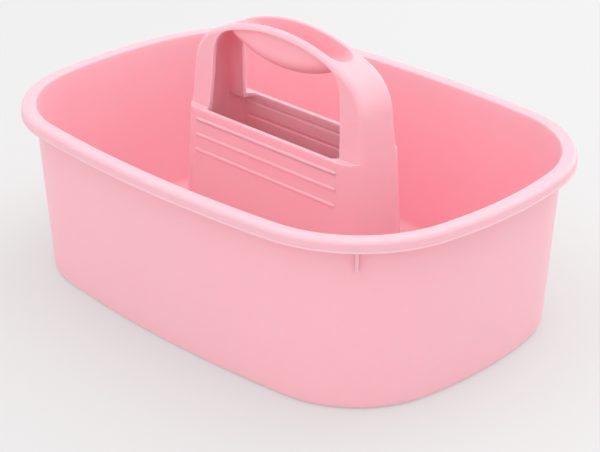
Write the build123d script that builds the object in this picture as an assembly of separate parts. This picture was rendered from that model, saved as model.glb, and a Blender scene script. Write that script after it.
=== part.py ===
from build123d import *
from math import asin, atan2, cos, degrees, hypot, radians, sin, sqrt, tan
import os

# Plastic shower caddy: an open tub with bulging sides and a rolled rim, and a hollow handle tower
# that rises from the middle of its floor to an arched, scooped grip. Millimetres. X runs along the
# grip, -Y is the front, Z is up, and the origin is where the tub stands, under its middle.
# The real caddy is one moulding, so the pieces below are its named regions, which meet face to face.

# Tub outline, taken at the outermost edge of the rim
overall_length = 360.0
overall_width = 254.4
tub_height = 116.3
long_side_radius = 855.6
short_side_radius = 292.7
corner_radius = 85.4

# Walls and floor of the tub
draft = 3.25                # degrees of lean on every upright face, so that it leaves its mould
wall = 1.9
floor_thickness = 2.5
foot_height = 2.0           # the floor is held this far above the ground by a foot ring
foot_width = 4.0
foot_radius = 4.0           # rounding under the outer edge
floor_fillet = 6.0          # rounding between the floor and the wall, inside
floor_margin = 2.0          # flat floor that belongs to the wall pieces, past the foot ring

# Rim: the wall flares, turns outwards over a flat top and comes down as a thin skirt
rim_band = 10.2             # height of the rim pieces
wall_inset = 9.5            # from the rim's outermost edge to the wall's outer face, at the rim's foot
flare_radius = 60.0         # bend of the wall's inner face
rim_inner_radius = 1.3
rim_outer_radius = 2.5
skirt_drop = 7.1            # from the top of the rim to the skirt's lower edge
skirt_edge = 1.3            # thickness of that edge
skirt_lip = 0.5             # how far the edge stands out
skirt_lip_height = 0.8

# Stacking ribs under the rim, one at each corner
rib_thickness = 1.9
rib_drop = 15.4             # how far a rib reaches below the skirt
rib_head = 5.6              # how far a rib stands out from the wall at the skirt's lower edge
rib_foot = 3.4              # the same, at its lower end

# Handle tower, lower part
sill_height = 113.0         # the top of the two panels and the bottom of the hand window
tower_half_length = 76.3    # at the sill
panel_half_width = 23.9     # at the sill
tower_corner = 13.6         # at the sill
tower_wall = 2.6
sill_thickness = 3.0
line_count = 3
line_margin = 1.1           # from the end of a line to the end of its panel
first_line_drop = 7.0       # below the sill
line_pitch = 10.6
line_width = 2.8
line_height = 0.8

# Handle tower, legs and grip
overall_height = 179.0
leg_half_width = 16.9       # at the sill
neck_half_width = 14.7      # part of the way up
neck_rise = 27.0            # above the sill
grip_half_width = 13.8      # at the top
arch_radius = 130.0
shoulder_radius = 30.0
tower_edge = 4.0            # rounding along the arch's front and back edges
leg_piece_start = 54.0      # half-length of the grip piece, where a leg takes over

# Hand window
window_half_length = 58.3   # at the sill
window_top_half_length = 56.0
window_corner = 20.0
window_chamfer = 2.9        # diagonal step at the foot of each leg
lip_thickness = 3.3

# Scoop in the grip: the shape left by a round-edged wheel that turns about an axis along Y
scoop_depth = 28.2          # from the top of the grip to the underside of the scoop
scoop_wheel_radius = 93.0
scoop_half_width = 11.3
scoop_wall = 2.5
scoop_edge = 1.4            # rounding of the opening

# Values that follow from the ones above
lean = tan(radians(draft))
cos_draft, sin_draft = cos(radians(draft)), sin(radians(draft))
half_length, half_width = overall_length / 2, overall_width / 2
floor_top = foot_height + floor_thickness
rim_bottom = tub_height - rim_band
arch_centre = overall_height - arch_radius
panel_end = tower_half_length - tower_corner
line_half_length = panel_end - line_margin


def outer_inset(height):
    """How far the wall's outer face lies inside the rim's outermost edge."""
    return wall_inset + (rim_bottom - height) * lean


def inner_inset(height):
    return outer_inset(height) + wall / cos_draft


# ---------------------------------------------------------------- plan outline of the tub
def corner_centre():
    """Centre of the front right corner's mirror twin, the arc that touches both side arcs."""
    side = Vector(0, half_width - long_side_radius)
    end = Vector(half_length - short_side_radius, 0)
    side_reach = long_side_radius - corner_radius
    end_reach = short_side_radius - corner_radius
    gap = (end - side).length
    along = (side_reach**2 - end_reach**2 + gap**2) / (2 * gap)
    across = sqrt(side_reach**2 - along**2)
    step = (end - side) / gap
    return side + step * along + Vector(step.Y, -step.X) * across


def plan_arcs():
    """The eight arcs of the outline: name, centre, radius, first and last angle in degrees."""
    corner = corner_centre()
    end_x = half_length - short_side_radius
    side_y = half_width - long_side_radius
    low = degrees(atan2(corner.Y, corner.X - end_x))
    high = degrees(atan2(corner.Y - side_y, corner.X))
    return [
        ("right", (end_x, 0), short_side_radius, -low, low),
        ("back_right", (corner.X, corner.Y), corner_radius, low, high),
        ("back", (0, side_y), long_side_radius, high, 180 - high),
        ("back_left", (-corner.X, corner.Y), corner_radius, 180 - high, 180 - low),
        ("left", (-end_x, 0), short_side_radius, 180 - low, 180 + low),
        ("front_left", (-corner.X, -corner.Y), corner_radius, 180 + low, 180 + high),
        ("front", (0, -side_y), long_side_radius, 180 + high, 360 - high),
        ("front_right", (corner.X, -corner.Y), corner_radius, 360 - high, 360 - low),
    ]


def outline_face(inset):
    """Flat face inside the outline, drawn parallel to it at this inset."""
    arcs = [CenterArc(centre, radius - inset, first, last - first)
            for _, centre, radius, first, last in plan_arcs()]
    return make_face(arcs)


def closed_face(points):
    """Face in the XZ plane. A point is (x, z); an arc is ((x, z) on the way, (x, z) at its end)."""
    edges = []
    here = points[0]
    for point in points[1:] + points[:1]:
        if isinstance(point[0], tuple):
            through, end = point
            edges.append(ThreePointArc(*[(x, 0, z) for x, z in (here, through, end)]))
            here = end
        else:
            edges.append(Line((here[0], 0, here[1]), (point[0], 0, point[1])))
            here = point
    return make_face(edges)


def on_circle(centre, radius, angle):
    turn = radians(angle)
    return (centre[0] + radius * cos(turn), centre[1] + radius * sin(turn))


def section_face(radius, section):
    """Face of a section given as (inset, height) points, set out from the centre of an arc."""
    def place(point):
        if isinstance(point[0], tuple):
            return tuple(place(p) for p in point)
        return (radius - point[0], point[1])

    return closed_face([place(point) for point in section])


def swept_along(arc, section):
    """Turn a section about the centre of one arc of the outline."""
    _, centre, radius, first, last = arc
    swept = revolve(section_face(radius, section), Axis.Z, last - first)
    return Pos(*centre) * Rot(0, 0, first) * swept


# ---------------------------------------------------------------- tub pieces
def wall_section():
    """Foot ring, rounded bottom edge and leaning wall, up to the rim."""
    foot = (outer_inset(foot_radius) + foot_radius / cos_draft, foot_radius)
    bend_height = floor_top + floor_fillet
    bend = (inner_inset(bend_height) + floor_fillet / cos_draft, bend_height)
    ring_inner = foot[0] + foot_width
    floor_edge = floor_edge_inset()
    return [
        (outer_inset(rim_bottom), rim_bottom),
        on_circle(foot, foot_radius, 180 + draft),
        (on_circle(foot, foot_radius, 225 + draft / 2), (foot[0], 0)),
        (ring_inner, 0),
        (ring_inner, foot_height),
        (floor_edge, foot_height),
        (floor_edge, floor_top),
        (bend[0], floor_top),
        (on_circle(bend, floor_fillet, 225 + draft / 2), on_circle(bend, floor_fillet, 180 + draft)),
        (inner_inset(rim_bottom), rim_bottom),
    ]


def floor_edge_inset():
    ring_inner = outer_inset(foot_radius) + foot_radius / cos_draft + foot_width
    bend_height = floor_top + floor_fillet
    fillet_end = inner_inset(bend_height) + floor_fillet / cos_draft
    return max(ring_inner, fillet_end) + floor_margin


def flare_centre():
    return (inner_inset(rim_bottom) - flare_radius * cos_draft, rim_bottom - flare_radius * sin_draft)


def rim_section():
    """The wall flares and turns over a flat top into a thin skirt with a small lip."""
    flare = flare_centre()
    rise = tub_height - rim_inner_radius - flare[1]
    reach = flare_radius - rim_inner_radius
    inner = (flare[0] + sqrt(reach**2 - rise**2), tub_height - rim_inner_radius)
    tilt = degrees(atan2(rise, inner[0] - flare[0]))
    outer = (skirt_lip + rim_outer_radius, tub_height - rim_outer_radius)
    ceiling = tub_height - wall
    back_radius = flare_radius - wall
    back_tilt = degrees(asin((ceiling - flare[1]) / back_radius))
    skirt_bottom = tub_height - skirt_drop
    lip_top = skirt_bottom + skirt_lip_height
    hollow_radius = rim_outer_radius - wall
    return [
        (outer_inset(rim_bottom), rim_bottom),
        (on_circle(flare, back_radius, (draft + back_tilt) / 2), on_circle(flare, back_radius, back_tilt)),
        (outer[0], ceiling),
        (on_circle(outer, hollow_radius, 135), on_circle(outer, hollow_radius, 180)),
        (skirt_edge, skirt_bottom),
        (0, skirt_bottom),
        (0, lip_top),
        (skirt_lip, lip_top + skirt_lip),
        (skirt_lip, outer[1]),
        (on_circle(outer, rim_outer_radius, 135), (outer[0], tub_height)),
        (inner[0], tub_height),
        (on_circle(inner, rim_inner_radius, (tilt + 90) / 2), on_circle(inner, rim_inner_radius, tilt)),
        (on_circle(flare, flare_radius, (draft + tilt) / 2), (inner_inset(rim_bottom), rim_bottom)),
    ]


def tub_floor(tower_block):
    plate = Pos(0, 0, foot_height) * extrude(outline_face(floor_edge_inset()), floor_thickness)
    return plate - tower_block


def stacking_rib(arc, rim, corner_wall):
    """Thin upright web between the wall and the skirt, in the middle of a corner."""
    _, centre, radius, first, last = arc
    flare = flare_centre()
    mid_wall = flare_radius - wall / 2
    bend = degrees(asin((tub_height - 2 * wall - flare[1]) / mid_wall))
    skirt_bottom = tub_height - skirt_drop
    web_bottom = skirt_bottom - rib_drop
    web = section_face(radius, [
        (outer_inset(skirt_bottom) - rib_head, skirt_bottom),
        (skirt_edge / 2, skirt_bottom + skirt_lip_height),
        (skirt_edge / 2, tub_height - rim_outer_radius),
        (skirt_lip + rim_outer_radius, tub_height - wall / 2),
        on_circle(flare, mid_wall, bend),
        (on_circle(flare, mid_wall, (bend + draft) / 2), on_circle(flare, mid_wall, draft)),
        (inner_inset(web_bottom) - wall / 2, web_bottom),
        (outer_inset(web_bottom) - rib_foot / 2, web_bottom),
        (outer_inset(web_bottom) - rib_foot, web_bottom + rib_foot / 2),
    ])
    web = extrude(web, rib_thickness / 2, both=True)
    web = Pos(*centre) * Rot(0, 0, (first + last) / 2) * web
    return web - rim - corner_wall


# ---------------------------------------------------------------- tower: lower part
def tower_half(height, at_sill):
    """A half-size of the tower's leaning faces at some height."""
    return at_sill + (sill_height - height) * lean


def lower_block(bottom, top, inset):
    """Leaning block with rounded corners, shrunk evenly by the inset."""
    grow = (sill_height - bottom) * lean - inset
    plan = RectangleRounded(2 * (tower_half_length + grow), 2 * (panel_half_width + grow),
                            tower_corner + grow)
    return Pos(0, 0, bottom) * extrude(plan, top - bottom, taper=draft)


# ---------------------------------------------------------------- tower: legs and grip
def shoulder_centre(inset):
    """Centre of the arc that joins the leaning end face to the arch."""
    reach = arch_radius - shoulder_radius
    start = Vector(tower_half_length - shoulder_radius * cos_draft,
                   sill_height - shoulder_radius * sin_draft - arch_centre)
    up_face = Vector(-sin_draft, cos_draft)
    slide = start.dot(up_face)
    climb = -slide + sqrt(slide**2 - start.length**2 + reach**2)
    centre = start + up_face * climb
    return (centre.X, centre.Y + arch_centre)


def arch_face(bottom, inset):
    """Side view of the arch, shrunk evenly by the inset."""
    centre = shoulder_centre(inset)
    radius = shoulder_radius - inset
    tilt = degrees(atan2(centre[1] - arch_centre, centre[0]))
    foot = (tower_half(bottom, tower_half_length) - inset / cos_draft, bottom)
    low = on_circle(centre, radius, draft)
    middle = on_circle(centre, radius, (draft + tilt) / 2)
    high = on_circle(centre, radius, tilt)
    crown = (0, overall_height - inset)

    def mirrored(point):
        return (-point[0], point[1])

    return closed_face([foot, low, (middle, high), (crown, mirrored(high)),
                        (mirrored(middle), mirrored(low)), mirrored(foot)])


def width_face(bottom, inset):
    """End view of the legs and grip: gently waisted, shrunk by the inset."""
    top = overall_height + 1
    neck = sill_height + neck_rise
    curve = ThreePointArc((leg_half_width - inset, sill_height),
                          (neck_half_width - inset, neck),
                          (grip_half_width - inset, overall_height))
    start = curve @ 0
    end = curve @ 1
    foot = (start.X + (sill_height - bottom) * lean, bottom)
    right = [((curve @ 0.5).X, (curve @ 0.5).Y), (end.X, end.Y)]
    outline = [foot, (start.X, start.Y), (right[0], right[1]), (end.X, top), (-end.X, top),
               (-end.X, end.Y), ((-right[0][0], right[0][1]), (-start.X, start.Y)), (-foot[0], bottom)]
    return closed_face(outline)


def arch_block(bottom, inset):
    """Solid legs and grip with rounded front and back edges."""
    reach = 2 * overall_length
    side_view = extrude(arch_face(bottom, inset), reach, both=True)
    end_view = Rot(0, 0, 90) * extrude(width_face(bottom, inset), reach, both=True)
    block = side_view & end_view
    outline_edges = [e for face in block.faces() if abs(face.normal_at().Y) > 0.7 for e in face.edges()
                     if e.center().Z > bottom + 0.01 and not joins_faces_smoothly(e)]
    return fillet(outline_edges, tower_edge - inset)


def joins_faces_smoothly(edge):
    """True for a level line across the front or back, where its straight and curved stretches meet."""
    start, end = edge @ 0, edge @ 1
    return abs(start.Z - end.Z) < 0.01 and abs(start.X + end.X) < 0.01


def window_cut():
    """Opening for the hand, through the front and back of the tower."""
    radius = arch_radius - lip_thickness
    reach = radius - window_corner
    centre_x = window_top_half_length - window_corner
    centre = (centre_x, arch_centre + sqrt(reach**2 - centre_x**2))
    tilt = degrees(atan2(centre[1] - arch_centre, centre[0]))
    foot = (window_half_length, sill_height)
    low = on_circle(centre, window_corner, 0)
    middle = on_circle(centre, window_corner, tilt / 2)
    high = on_circle(centre, window_corner, tilt)
    crown = (0, overall_height - lip_thickness)

    def mirrored(point):
        return (-point[0], point[1])

    side_view = closed_face([foot, low, (middle, high), (crown, mirrored(high)),
                             (mirrored(middle), mirrored(low)), mirrored(foot)])
    return extrude(side_view, 2 * panel_half_width, both=True)


def sill_cut():
    """Opening downwards between the two sills, with its corners cut across."""
    x, y, step = window_half_length, panel_half_width - sill_thickness, window_chamfer
    plan = Polyline((x - step, -y), (x, step - y), (x, y - step), (x - step, y),
                    (step - x, y), (-x, y - step), (-x, step - y), (step - x, -y), close=True)
    bottom = sill_height - 2 * tower_wall
    return Pos(0, 0, bottom) * extrude(make_face(plan), sill_height + tower_wall - bottom)


def scoop_wheel(inset):
    """Round-edged wheel about an axis along Y, whose lower part shapes the scoop."""
    axis_height = overall_height - scoop_depth + scoop_wheel_radius
    radius = scoop_wheel_radius - inset
    half = scoop_half_width - inset
    hub = radius / 3
    section = closed_face([(half, -hub), (half, half - radius),
                           ((0, -radius), (-half, half - radius)), (-half, -hub)])
    section = Rot(0, 0, 90) * section
    return Pos(0, 0, axis_height) * revolve(section, Axis.Y, 360)


def whole_tower():
    """The hollow tower as one skin, ready to be divided."""
    hollow_start = sill_height - 2 * tower_wall
    outside = lower_block(foot_height, sill_height, 0) + arch_block(hollow_start, 0)
    inside = lower_block(foot_height - 1, sill_height - tower_wall, tower_wall)
    inside += arch_block(hollow_start, tower_wall)
    inside += window_cut() + sill_cut()
    skin = outside - (inside - scoop_wheel(0)) - scoop_wheel(scoop_wall)
    return fillet(skin.edges().filter_by(is_scoop_opening), scoop_edge)


def is_scoop_opening(edge):
    """True for the edges where the scoop breaks through the top of the arch."""
    spots = [edge @ share for share in (0, 0.25, 0.5, 0.75, 1)]
    on_top = all(abs(hypot(spot.X, spot.Z - arch_centre) - arch_radius) < 0.02 for spot in spots)
    return on_top and all(abs(spot.Y) < scoop_half_width - scoop_wall + 0.1 for spot in spots)


def line_bars(side, offset):
    """Three level bars along a panel, with round ends. side is -1 for the front, 1 for the back."""
    radius = (line_width**2 / 4 + line_height**2) / (2 * line_height)
    sunk = radius - line_height + offset
    bars = []
    for number in range(line_count):
        height = sill_height - first_line_drop - number * line_pitch
        y = side * (tower_half(height, panel_half_width) - sunk)
        bar = Rot(0, 90, 0) * Cylinder(radius, 2 * line_half_length)
        for end in (-1, 1):
            bar += Pos(end * line_half_length, 0, 0) * Sphere(radius)
        bars.append(Pos(0, y, height) * bar)
    return bars


def region(low, high):
    """Box between two corners, used to divide the tower."""
    size = [b - a for a, b in zip(low, high)]
    middle = [(a + b) / 2 for a, b in zip(low, high)]
    return Pos(*middle) * Box(*size)


def tower_pieces():
    skin = whole_tower()
    far = overall_length
    pieces = {}
    for side, name in ((-1, "front"), (1, "back")):
        low, high = sorted((0, side * far))
        panel = skin & region((-panel_end, low, -1), (panel_end, high, sill_height))
        for bar in line_bars(side, tower_wall):
            panel -= bar
        pieces[f"tower_{name}_panel"] = panel
    for side, name in ((-1, "left"), (1, "right")):
        low, high = sorted((side * panel_end, side * far))
        pieces[f"tower_{name}_end"] = skin & region((low, -far, -1), (high, far, sill_height))
        low, high = sorted((side * leg_piece_start, side * far))
        pieces[f"grip_{name}_leg"] = skin & region((low, -far, sill_height), (high, far, far))
    pieces["grip"] = skin & region((-leg_piece_start, -far, sill_height), (leg_piece_start, far, far))
    return pieces


def panel_lines(side):
    block = lower_block(foot_height, sill_height, 0)
    return Compound([solid for bar in line_bars(side, 0) for solid in (bar - block).solids()])


# ---------------------------------------------------------------- everything
def all_pieces():
    pieces = {}
    ribs = []
    for arc in plan_arcs():
        name = arc[0]
        kind = "corner" if "_" in name else "wall"
        pieces[f"tub_{name}_{kind}"] = swept_along(arc, wall_section())
        pieces[f"rim_{name}"] = swept_along(arc, rim_section())
        if kind == "corner":
            ribs.append(stacking_rib(arc, pieces[f"rim_{name}"], pieces[f"tub_{name}_corner"]))
    pieces["stacking_ribs"] = Compound([solid for rib in ribs for solid in rib.solids()])
    pieces["tub_floor"] = tub_floor(lower_block(foot_height - 1, sill_height, 0))
    pieces.update(tower_pieces())
    pieces["front_panel_lines"] = panel_lines(-1)
    pieces["back_panel_lines"] = panel_lines(1)
    return pieces


os.makedirs("parts", exist_ok=True)
for piece_name, piece in all_pieces().items():
    export_step(piece, f"parts/{piece_name}.step")
    box = piece.bounding_box()
    print(f"{piece_name:24} solids {len(piece.solids())}  volume {piece.volume:10.1f}  top {box.max.Z:6.1f}")
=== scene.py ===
# %% [markdown]
# # Plastic shower caddy
# An open tub with bulging sides and a turned rim, and a hollow handle tower that stands up from the
# middle of its floor. The whole thing is one polypropylene moulding, so the scene has two jobs: to
# show the tub as the seamless skin it is, and to give every part the same satin pink plastic.
#
# The tub's walls, corners, rim and floor are modelled again here as one piece, and the regions of
# the tower are united into another, because a real moulding has no lines between them. Only the
# four stacking ribs are shown as the CAD nodes that they are.

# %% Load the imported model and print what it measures
from math import acos, asin, atan2, cos, degrees, pi, radians, sin, sqrt, tan

import bpy
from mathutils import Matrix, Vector


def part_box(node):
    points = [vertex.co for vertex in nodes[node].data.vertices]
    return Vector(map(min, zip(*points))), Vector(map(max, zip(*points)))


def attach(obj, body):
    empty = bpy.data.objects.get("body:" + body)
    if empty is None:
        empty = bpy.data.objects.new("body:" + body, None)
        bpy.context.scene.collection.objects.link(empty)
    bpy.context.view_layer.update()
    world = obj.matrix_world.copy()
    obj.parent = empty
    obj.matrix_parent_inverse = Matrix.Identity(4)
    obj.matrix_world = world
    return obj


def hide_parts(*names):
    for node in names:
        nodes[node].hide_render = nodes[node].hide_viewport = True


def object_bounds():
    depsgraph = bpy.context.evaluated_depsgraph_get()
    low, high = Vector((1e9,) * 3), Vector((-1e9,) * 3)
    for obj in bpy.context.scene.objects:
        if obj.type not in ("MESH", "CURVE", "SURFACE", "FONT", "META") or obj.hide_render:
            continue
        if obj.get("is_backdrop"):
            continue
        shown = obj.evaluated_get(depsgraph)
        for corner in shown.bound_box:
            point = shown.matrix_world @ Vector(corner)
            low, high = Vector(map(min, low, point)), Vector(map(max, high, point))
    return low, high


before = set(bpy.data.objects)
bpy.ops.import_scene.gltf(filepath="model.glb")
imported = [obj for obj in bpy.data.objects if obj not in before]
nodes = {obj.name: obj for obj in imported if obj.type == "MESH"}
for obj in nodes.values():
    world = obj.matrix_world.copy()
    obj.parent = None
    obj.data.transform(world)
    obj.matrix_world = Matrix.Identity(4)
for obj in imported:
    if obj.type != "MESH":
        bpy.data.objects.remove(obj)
low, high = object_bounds()
print("nodes:", len(nodes))
print("box in mm:", [round(1000 * value, 1) for value in (*low, *high)])

# %% [markdown]
# ## Numbers the tub needs
# Heights and lengths are read from the nodes wherever a node shows them. What is left are the
# thicknesses, radii and the draft: the small lean that lets a moulding leave its mould.

# %% Read the heights and lengths, and name the rest
MM = 0.001
rim_low, rim_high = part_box("rim_front")
floor_low, floor_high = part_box("tub_floor")
sill_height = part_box("tower_front_panel")[1][2]
half_length, half_width = high[0], -low[1]
rim_bottom, tub_height = rim_low[2], rim_high[2]
floor_bottom, floor_top = floor_low[2], floor_high[2]

long_side_radius = 855.6 * MM
short_side_radius = 292.7 * MM
corner_radius = 85.4 * MM
tower_corner_radius = 13.6 * MM
draft = radians(3.25)
wall = 1.9 * MM
weld = 0.01 * MM
print("rim from", round(rim_bottom / MM, 1), "to", round(tub_height / MM, 1), "mm")
print("floor from", round(floor_bottom / MM, 1), "to", round(floor_top / MM, 1), "mm")

# %% [markdown]
# ## Outline of the tub
# Seen from above, the outline is eight arcs that touch without a kink: two shallow ones along the
# sides, two at the ends and one at each corner. A corner's centre is found from the two arcs beside
# it, because touching circles have centres as far apart as their radii differ.

# %% Find the corner centre and list the eight arcs
side_centre = Vector((0, half_width - long_side_radius))
end_centre = Vector((half_length - short_side_radius, 0))
side_reach = long_side_radius - corner_radius
end_reach = short_side_radius - corner_radius
gap = (end_centre - side_centre).length
along = (side_reach**2 - end_reach**2 + gap**2) / (2 * gap)
across = sqrt(side_reach**2 - along**2)
step = (end_centre - side_centre) / gap
corner = side_centre + step * along + Vector((step.y, -step.x)) * across
turn_low = atan2(corner.y, corner.x - end_centre.x)
turn_high = atan2(corner.y - side_centre.y, corner.x)

ARC_STEPS = {"end": 18, "corner": 34, "side": 28}
arcs = [
    ("end", (end_centre.x, 0), 2 * turn_low),
    ("corner", (corner.x, corner.y), turn_high - turn_low),
    ("side", (0, side_centre.y), pi - 2 * turn_high),
    ("corner", (-corner.x, corner.y), turn_high - turn_low),
    ("end", (-end_centre.x, 0), 2 * turn_low),
    ("corner", (-corner.x, -corner.y), turn_high - turn_low),
    ("side", (0, -side_centre.y), pi - 2 * turn_high),
    ("corner", (corner.x, -corner.y), turn_high - turn_low),
]
print("corner centre in mm:", round(corner.x / MM, 2), round(corner.y / MM, 2))
print("turn of all arcs in degrees:", round(degrees(sum(turn for _, _, turn in arcs)), 3))


# %% [markdown]
# ## Section of the wall
# One line goes once round the plastic: out under the floor, round the foot ring, up the outside,
# in under the skirt, over the rim and down the inside to the floor. Points are (inset, height),
# where inset is the distance in from the rim's outermost edge.

# %% Helpers that draw arcs and rounded corners into a section
def arc_points(centre, radius, first, last, steps):
    """Points on an arc, from one angle to another, both included."""
    return [(centre[0] + radius * cos(first + (last - first) * n / steps),
             centre[1] + radius * sin(first + (last - first) * n / steps)) for n in range(steps + 1)]


def rounded(before, point, after, radius, steps):
    """Points that take the place of a sharp corner."""
    point = Vector(point)
    to_before = (Vector(before) - point).normalized()
    to_after = (Vector(after) - point).normalized()
    half = acos(max(-1, min(1, to_before.dot(to_after)))) / 2
    centre = point + (to_before + to_after).normalized() * radius / sin(half)
    start = point + to_before * radius / tan(half) - centre
    end = point + to_after * radius / tan(half) - centre
    first = atan2(start.y, start.x)
    sweep = (atan2(end.y, end.x) - first + pi) % (2 * pi) - pi
    return arc_points(centre, radius, first, first + sweep, steps)


# %% The wall, from the floor's underside to the skirt
wall_inset = 9.5 * MM
foot_radius = 4.0 * MM
foot_width = 4.0 * MM
ring_edge_radius = 0.5 * MM
floor_lap = 4 * MM


def outer_inset(height):
    return wall_inset + (rim_bottom - height) * tan(draft)


def inner_inset(height):
    return outer_inset(height) + wall / cos(draft)


foot_centre = (outer_inset(foot_radius) + foot_radius / cos(draft), foot_radius)
ring_inner = foot_centre[0] + foot_width
floor_edge = ring_inner + floor_lap
foot_corner = (ring_inner, 0)
section = [(floor_edge, floor_bottom)]
section += rounded((floor_edge, floor_bottom), (ring_inner, floor_bottom), foot_corner, ring_edge_radius, 3)
section += rounded((ring_inner, floor_bottom), foot_corner, (foot_centre[0], 0), ring_edge_radius, 3)
section += arc_points(foot_centre, foot_radius, 1.5 * pi, pi + draft, 9)
section.append((outer_inset(0.5 * rim_bottom), 0.5 * rim_bottom))
section.append((outer_inset(rim_bottom), rim_bottom))
print("points so far:", len(section))

# %% [markdown]
# The rim is the stiffest part of the tub. The wall flares a little, turns outwards over a flat top
# and comes down as a thin skirt whose lower edge is thickened into a small lip. All the edges are
# rounded, as they are on anything that a hand carries.

# %% The skirt and the rim
flare_radius = 60.0 * MM
rim_inner_radius = 1.3 * MM
rim_outer_radius = 2.5 * MM
skirt_drop = 7.1 * MM
skirt_bottom = tub_height - skirt_drop
skirt_edge = 1.3 * MM
skirt_lip = 0.5 * MM
lip_height = 0.8 * MM
lip_top = skirt_bottom + lip_height
lip_edge_radius = 0.35 * MM
skirt_edge_radius = 0.3 * MM

flare = (inner_inset(rim_bottom) - flare_radius * cos(draft), rim_bottom - flare_radius * sin(draft))
rise = tub_height - rim_inner_radius - flare[1]
inner = (flare[0] + sqrt((flare_radius - rim_inner_radius)**2 - rise**2), tub_height - rim_inner_radius)
tilt = atan2(rise, inner[0] - flare[0])
outer = (skirt_lip + rim_outer_radius, tub_height - rim_outer_radius)
ceiling = tub_height - wall
back_tilt = asin((ceiling - flare[1]) / (flare_radius - wall))

section += arc_points(flare, flare_radius - wall, draft, back_tilt, 5)[1:]
section += arc_points(outer, rim_outer_radius - wall, 0.5 * pi, pi, 5)
skirt_corner = (skirt_edge, skirt_bottom)
lip_corner = (0, skirt_bottom)
section += rounded((skirt_edge, outer[1]), skirt_corner, lip_corner, skirt_edge_radius, 3)
section += rounded(skirt_corner, lip_corner, (0, lip_top), lip_edge_radius, 4)
lip_slope_end = (skirt_lip, lip_top + skirt_lip)
section += rounded(lip_corner, (0, lip_top), lip_slope_end, lip_edge_radius, 3)
section += rounded((0, lip_top), lip_slope_end, (skirt_lip, outer[1]), skirt_edge_radius, 3)
section += arc_points(outer, rim_outer_radius, pi, 0.5 * pi, 10)
section += arc_points(inner, rim_inner_radius, 0.5 * pi, tilt, 6)
section += arc_points(flare, flare_radius, tilt, draft, 7)[1:]
print("rim top is", round((inner[0] - outer[0]) / MM, 1), "mm of flat plastic")

# %% Down the inside to the floor
floor_fillet = 6.0 * MM
bend_height = floor_top + floor_fillet
bend = (inner_inset(bend_height) + floor_fillet / cos(draft), bend_height)
section.append((inner_inset(0.5 * rim_bottom), 0.5 * rim_bottom))
section += arc_points(bend, floor_fillet, pi + draft, 1.5 * pi, 10)
section.append((floor_edge, floor_top))
print("points in the section:", len(section))


# %% [markdown]
# ## Sweeping the section
# The section is drawn as a chain of edges and spun about the centre of each arc in turn, so every
# stretch leaves the last one without a kink. Eight spins bring it back to where it started. A spin
# turns clockwise round its axis, so the axis points down for a sweep that goes the other way.

# %% Helpers for drawing in edit mode
def new_piece(name):
    """Start a piece as a primitive shrunk to its first point."""
    bpy.ops.object.select_all(action="DESELECT")
    bpy.ops.mesh.primitive_plane_add(size=1)
    piece = bpy.context.object
    piece.name = name
    piece.data.name = name
    bpy.ops.object.mode_set(mode="EDIT")
    bpy.ops.mesh.select_all(action="SELECT")
    bpy.ops.mesh.merge(type="CENTER")
    return piece


def draw_chain(points):
    """Move the selected point to the first place, then extrude it from place to place."""
    bpy.ops.transform.translate(value=points[0])
    for here, there in zip(points, points[1:]):
        delta = Vector(there) - Vector(here)
        bpy.ops.mesh.extrude_vertices_move(TRANSFORM_OT_translate={"value": delta})


def report(piece):
    """Print how many faces a piece has and how large it is."""
    box = [round(side / MM, 1) for side in piece.dimensions]
    print(piece.name, "faces", len(piece.data.polygons), "size in mm", box)


# %% Draw the section where the right end begins and spin it round the outline
def on_right_end(point):
    reach = short_side_radius - point[0]
    return Vector((end_centre.x + reach * cos(-turn_low), reach * sin(-turn_low), point[1]))


tub = new_piece("tub")
draw_chain([on_right_end(point) for point in section])
bpy.ops.mesh.select_all(action="SELECT")
for kind, centre, turn in arcs:
    bpy.ops.mesh.spin(steps=ARC_STEPS[kind], angle=turn, center=(*centre, 0), axis=(0, 0, -1))
bpy.ops.mesh.select_all(action="SELECT")
bpy.ops.mesh.remove_doubles(threshold=weld)
bpy.ops.object.mode_set(mode="OBJECT")
report(tub)

# %% [markdown]
# ## Where the floor meets the tower
# The floor rises into the tower's foot with a small rounding. Its section is swept along the foot's
# outline, a rounded rectangle: straight stretches are extruded and corners are spun.

# %% Measure the tower's foot
tower_low, tower_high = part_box("tower_right_end")
foot_half_length = tower_high[0]
foot_half_width = -tower_low[1]
foot_corner_radius = tower_corner_radius + (sill_height - floor_bottom) * tan(draft)
print("foot", round(foot_half_length / MM, 1), "x", round(foot_half_width / MM, 1),
      "mm, corner", round(foot_corner_radius / MM, 1), "mm")

# %% Sweep the rounding round the foot
root = 2.5 * MM
bury = 0.6 * MM


def face_lean(height):
    return (floor_bottom - height) * tan(draft)


root_centre = (face_lean(floor_top + root) + root, floor_top + root)
root_section = arc_points(root_centre, root, 1.5 * pi, pi + draft, 8)
root_section.append((face_lean(floor_top + root) - bury, floor_top + root))
root_section.append((-bury, floor_bottom))
straight_x = foot_half_length - foot_corner_radius
straight_y = foot_half_width - foot_corner_radius
foot = new_piece("tower_root")
draw_chain([Vector((foot_half_length + reach, -straight_y, height)) for reach, height in root_section])
bpy.ops.mesh.select_all(action="SELECT")
runs = [((0, 2 * straight_y, 0), (straight_x, straight_y)),
        ((-2 * straight_x, 0, 0), (-straight_x, straight_y)),
        ((0, -2 * straight_y, 0), (-straight_x, -straight_y)),
        ((2 * straight_x, 0, 0), (straight_x, -straight_y))]
for run, centre in runs:
    bpy.ops.mesh.extrude_edges_move(TRANSFORM_OT_translate={"value": run})
    bpy.ops.mesh.spin(steps=12, angle=0.5 * pi, center=(*centre, 0), axis=(0, 0, -1))
bpy.ops.mesh.select_all(action="SELECT")
bpy.ops.mesh.remove_doubles(threshold=weld)
bpy.ops.object.mode_set(mode="OBJECT")
report(foot)

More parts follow.
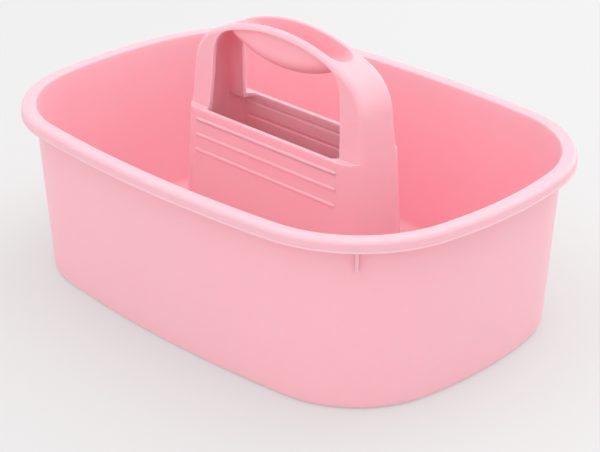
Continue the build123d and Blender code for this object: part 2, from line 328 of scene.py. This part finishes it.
# %% Join the two and fill the floor between them, above and below
bpy.ops.object.select_all(action="DESELECT")
foot.select_set(True)
tub.select_set(True)
bpy.context.view_layer.objects.active = tub
bpy.ops.object.join()
floor_middle = 0.5 * (floor_bottom + floor_top)
bpy.ops.object.mode_set(mode="EDIT")


def pick_floor_edges(piece, above):
    """Select the open edges of the floor's upper or lower face."""
    bpy.ops.mesh.select_mode(type="EDGE")
    bpy.ops.mesh.select_all(action="DESELECT")
    bpy.ops.mesh.select_non_manifold(use_wire=False, use_boundary=True, use_multi_face=False,
                                     use_non_contiguous=False, use_verts=False)
    bpy.ops.object.mode_set(mode="OBJECT")
    mesh = piece.data
    for edge in mesh.edges:
        height = mesh.vertices[edge.vertices[0]].co.z
        edge.select = edge.select and (height > floor_middle) == above
    bpy.ops.object.mode_set(mode="EDIT")


for above in (True, False):
    pick_floor_edges(tub, above)
    bpy.ops.mesh.bridge_edge_loops()
bpy.ops.mesh.select_all(action="SELECT")
bpy.ops.mesh.normals_make_consistent(inside=False)
bpy.ops.object.mode_set(mode="OBJECT")
report(tub)

# %% Smooth it and say what it stands for
bpy.ops.object.shade_smooth_by_angle(angle=radians(40))
tub_nodes = [name for name in nodes if name.startswith(("tub_", "rim_"))]
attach(tub, "root")
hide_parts(*tub_nodes)
print("tub stands for", len(tub_nodes), "nodes")

# %% [markdown]
# ## The tower
# The tower's shape is all in its CAD nodes: leaning panels, legs, the arched grip with its scoop,
# and the raised lines. Light travels inside this plastic, and it would stop at every surface
# between two regions. So copies of the nodes are united into one skin that is hollow like the
# real one. The nodes meet face to face, so nothing moves.

# %% Copy the tower's nodes, weld their loose triangles, and unite them
tower_nodes = ["tower_front_panel", "tower_left_end", "tower_back_panel", "tower_right_end",
               "grip_left_leg", "grip_right_leg", "grip", "front_panel_lines", "back_panel_lines"]


def welded_copy(name):
    """A copy of a node whose triangles share their corners."""
    bpy.ops.object.select_all(action="DESELECT")
    copy = nodes[name].copy()
    copy.data = nodes[name].data.copy()
    bpy.context.scene.collection.objects.link(copy)
    copy.select_set(True)
    bpy.context.view_layer.objects.active = copy
    bpy.ops.mesh.customdata_custom_splitnormals_clear()
    bpy.ops.object.mode_set(mode="EDIT")
    bpy.ops.mesh.select_all(action="SELECT")
    bpy.ops.mesh.remove_doubles(threshold=0.001 * MM)
    bpy.ops.object.mode_set(mode="OBJECT")
    return copy


def unite(piece, other):
    """Add another solid to a piece, then throw that solid away."""
    bpy.ops.object.select_all(action="DESELECT")
    bpy.context.view_layer.objects.active = piece
    piece.select_set(True)
    union = piece.modifiers.new("union", "BOOLEAN")
    union.operation = "UNION"
    union.solver = "MANIFOLD"
    union.object = other
    bpy.ops.object.modifier_apply(modifier=union.name)
    bpy.data.objects.remove(other)


tower = welded_copy(tower_nodes[0])
tower.name = "tower"
tower.data.name = "tower"
for name in tower_nodes[1:]:
    unite(tower, welded_copy(name))
report(tower)

# %% [markdown]
# A union leaves long thin triangles on the flat faces. Normals weighted by the size of the faces
# keep the flats flat and the roundings round.

# %% Smooth the tower and check that it is closed
def open_edges(piece):
    """Count the edges that don't have exactly two faces."""
    uses = {}
    for face in piece.data.polygons:
        for key in face.edge_keys:
            uses[key] = uses.get(key, 0) + 1
    return sum(1 for count in uses.values() if count != 2)


bpy.ops.object.shade_smooth_by_angle(angle=radians(30))
tower.modifiers.new("even normals", "WEIGHTED_NORMAL").keep_sharp = True
bpy.ops.object.modifier_apply(modifier="even normals")
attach(tower, "root")
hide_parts(*tower_nodes)
print("tower stands for", len(tower_nodes), "nodes")
print("open edges: tub", open_edges(tub), "tower", open_edges(tower))

# %% [markdown]
# ## Satin pink polypropylene
# The plastic is pigmented all the way through and lets a little light in, so shaded places stay
# warm and the edges never look hard. Its surface is a fine mould texture: sheen, but no sharp
# reflections. Two noises do this: grains of a third of a millimetre for the texture, and clouds of
# four centimetres for the slow changes of gloss and tint that melt flow leaves behind.

# %% Helpers: colours as people write them, and nodes with their settings and links
def linear(code):
    """A #rrggbb colour as the linear numbers a shader wants."""
    parts = [int(code[n:n + 2], 16) / 255 for n in (1, 3, 5)]
    return [part / 12.92 if part <= 0.04045 else ((part + 0.055) / 1.055)**2.4 for part in parts] + [1.0]


def add_node(tree, kind, settings=None, values=None, links=None):
    """Add a node, set its properties and sockets, and link its inputs."""
    node = tree.nodes.new(kind)
    for name, value in (settings or {}).items():
        setattr(node, name, value)
    for name, value in (values or {}).items():
        node.inputs[name].default_value = value
    for name, source in (links or {}).items():
        tree.links.new(source, node.inputs[name])
    return node


# %% Make the plastic
GRAIN_SIZE = 0.35 * MM
FLOW_SIZE = 40 * MM
plastic = bpy.data.materials.new("satin pink polypropylene")
plastic.use_nodes = True
tree = plastic.node_tree
tree.nodes.clear()
place = add_node(tree, "ShaderNodeTexCoord").outputs["Object"]
grain = add_node(tree, "ShaderNodeTexNoise", values={"Scale": 1 / GRAIN_SIZE, "Detail": 2.0},
                 links={"Vector": place})
flow = add_node(tree, "ShaderNodeTexNoise", values={"Scale": 1 / FLOW_SIZE, "Detail": 3.0},
                links={"Vector": place})
tint = add_node(tree, "ShaderNodeMix", {"data_type": "RGBA"}, links={"Factor": flow.outputs["Fac"]})
tint.inputs["A"].default_value = linear("#fabec8")
tint.inputs["B"].default_value = linear("#fbc0ca")
gloss = add_node(tree, "ShaderNodeMapRange", values={"To Min": 0.36, "To Max": 0.42},
                 links={"Value": flow.outputs["Fac"]})
bump = add_node(tree, "ShaderNodeBump", values={"Strength": 0.12, "Distance": 0.01 * MM},
                links={"Height": grain.outputs["Fac"]})
skin = add_node(tree, "ShaderNodeBsdfPrincipled",
                values={"IOR": 1.49, "Subsurface Weight": 0.7, "Subsurface Radius": (1.0, 0.5, 0.55),
                        "Subsurface Scale": 5.0 * MM},
                links={"Base Color": tint.outputs["Result"], "Roughness": gloss.outputs["Result"],
                       "Normal": bump.outputs["Normal"]})
add_node(tree, "ShaderNodeOutputMaterial", links={"Surface": skin.outputs["BSDF"]})
for piece in [tub, tower, *nodes.values()]:
    piece.data.materials.clear()
    piece.data.materials.append(plastic)
print("pieces in this plastic:", len(nodes) + 2)

# %% [markdown]
# ## Floor, light and camera
# A pale floor in a bright, even studio. Most of the light comes from all round. A large soft sheet
# overhead and two panels, one behind and one in front, add just enough to show the form. The floor
# glows a little, so that it stays pale where the caddy shades it.

# %% Floor
bpy.ops.object.select_all(action="DESELECT")
bpy.ops.mesh.primitive_plane_add(size=12)
floor = bpy.context.object
floor.name = "studio_floor"
paper = bpy.data.materials.new("matt white studio paper")
paper.use_nodes = True
sheet = paper.node_tree.nodes["Principled BSDF"]
sheet.inputs["Base Color"].default_value = linear("#adadad")
sheet.inputs["Roughness"].default_value = 0.9
sheet.inputs["Emission Color"].default_value = (1, 1, 1, 1)
sheet.inputs["Emission Strength"].default_value = 0.32
floor.data.materials.append(paper)
floor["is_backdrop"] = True
print("floor reaches", floor.dimensions.x / 2, "m each way")

# %% Light
world = bpy.data.worlds.new("studio")
world.use_nodes = True
bpy.context.scene.world = world
sky = world.node_tree.nodes["Background"]
sky.inputs["Color"].default_value = (1, 1, 1, 1)
sky.inputs["Strength"].default_value = 0.92


def soft_light(name, place, target, size, watts):
    """A square light of some size that looks at a target."""
    light = bpy.data.lights.new(name, "AREA")
    light.shape = "SQUARE"
    light.size = size
    light.energy = watts
    holder = bpy.data.objects.new(name, light)
    bpy.context.scene.collection.objects.link(holder)
    holder.location = place
    holder.rotation_mode = "QUATERNION"
    holder.rotation_quaternion = (Vector(target) - Vector(place)).to_track_quat("-Z", "Y")
    return holder


soft_light("overhead sheet", (0.1, 0.1, 1.6), (0, 0, 0), 2.2, 11)
soft_light("back panel", (0.2, 1.9, 0.9), (0, 0, 0.06), 1.6, 10)
soft_light("front fill", (0.5, -1.3, 1.5), (0, 0, 0.06), 1.4, 3.5)

# %% Camera
turn, climb = radians(44.84), radians(25.88)
distance = 1.1589
looks_at = Vector((0.00807, 0, 0.04412))
back = Vector((sin(turn) * cos(climb), -cos(turn) * cos(climb), sin(climb)))
eye = bpy.data.objects.new("camera", bpy.data.cameras.new("camera"))
bpy.context.scene.collection.objects.link(eye)
eye.location = looks_at + back * distance
eye.rotation_mode = "QUATERNION"
eye.rotation_quaternion = (-back).to_track_quat("-Z", "Y")
eye.data.sensor_width = 36
eye.data.lens = 107.4
eye.data.dof.use_dof = False
bpy.context.scene.camera = eye
bpy.context.scene.view_settings.view_transform = "Standard"
print("camera stands", round(eye.location.z, 3), "m up")

# %% Write the size before and after, and finish
low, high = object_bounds()
print("box in mm:", [round(1000 * value, 1) for value in (*low, *high)])
